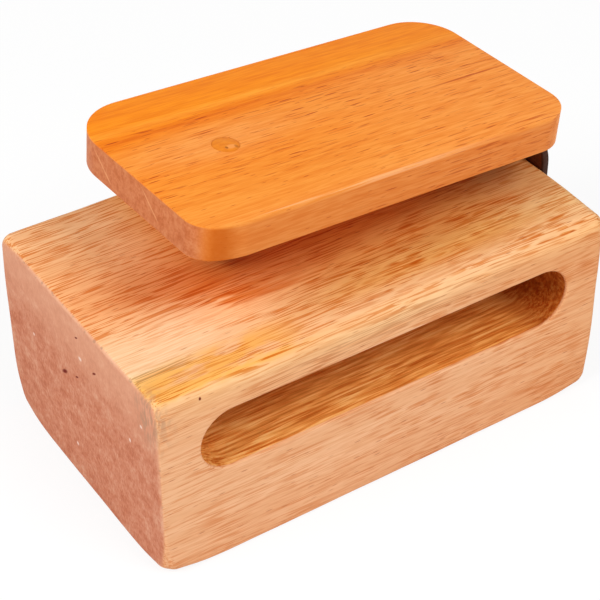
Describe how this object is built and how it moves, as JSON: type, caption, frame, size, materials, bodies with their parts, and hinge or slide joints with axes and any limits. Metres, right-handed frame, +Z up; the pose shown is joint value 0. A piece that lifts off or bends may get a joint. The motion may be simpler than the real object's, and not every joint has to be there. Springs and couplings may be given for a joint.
{
  "type": "woodblock with hinged striker board",
  "caption": "Slotted hardwood block with a rounded board hinged above it on a leather strap; tapping the board drives a turned wooden peg onto the block.",
  "frame": {"origin": "centre of the block's underside", "axes": "+X along the block towards the hinge end, +Y from the slotted front to the back, +Z up"},
  "size_m": [0.1656, 0.0954, 0.1103],
  "materials": {
    "block_wood": "pale open-pored hardwood, thinly sealed",
    "board_wood": "orange hardwood, satin lacquer",
    "beater_wood": "turned hardwood, thinly sealed",
    "plug_filler": "wood filler under the board's lacquer",
    "strap_leather": "dark brown vegetable-tanned strap leather",
    "screw_steel": "zinc-plated steel"
  },
  "bodies": {
    "block": {"resonator_block": "block_wood", "hinge_strap": "strap_leather", "block_strap_washers": "screw_steel", "block_strap_screws": "screw_steel"},
    "board": {"striker_board": "board_wood", "beater": "beater_wood", "beater_screw": "screw_steel", "screw_plug": "plug_filler", "board_strap_washers": "screw_steel", "board_strap_screws": "screw_steel"}
  },
  "joints": [
    {"name": "board_hinge", "type": "hinge", "parent": "block", "child": "board", "pos_m": [0.0749, 0, 0.0795], "axis": [0, 1, 0], "range_deg": [-2.4, 85], "stiffness_Nm_per_rad": 0.12, "springref_deg": 22.75, "deforming": ["hinge_strap"]}
  ]
}
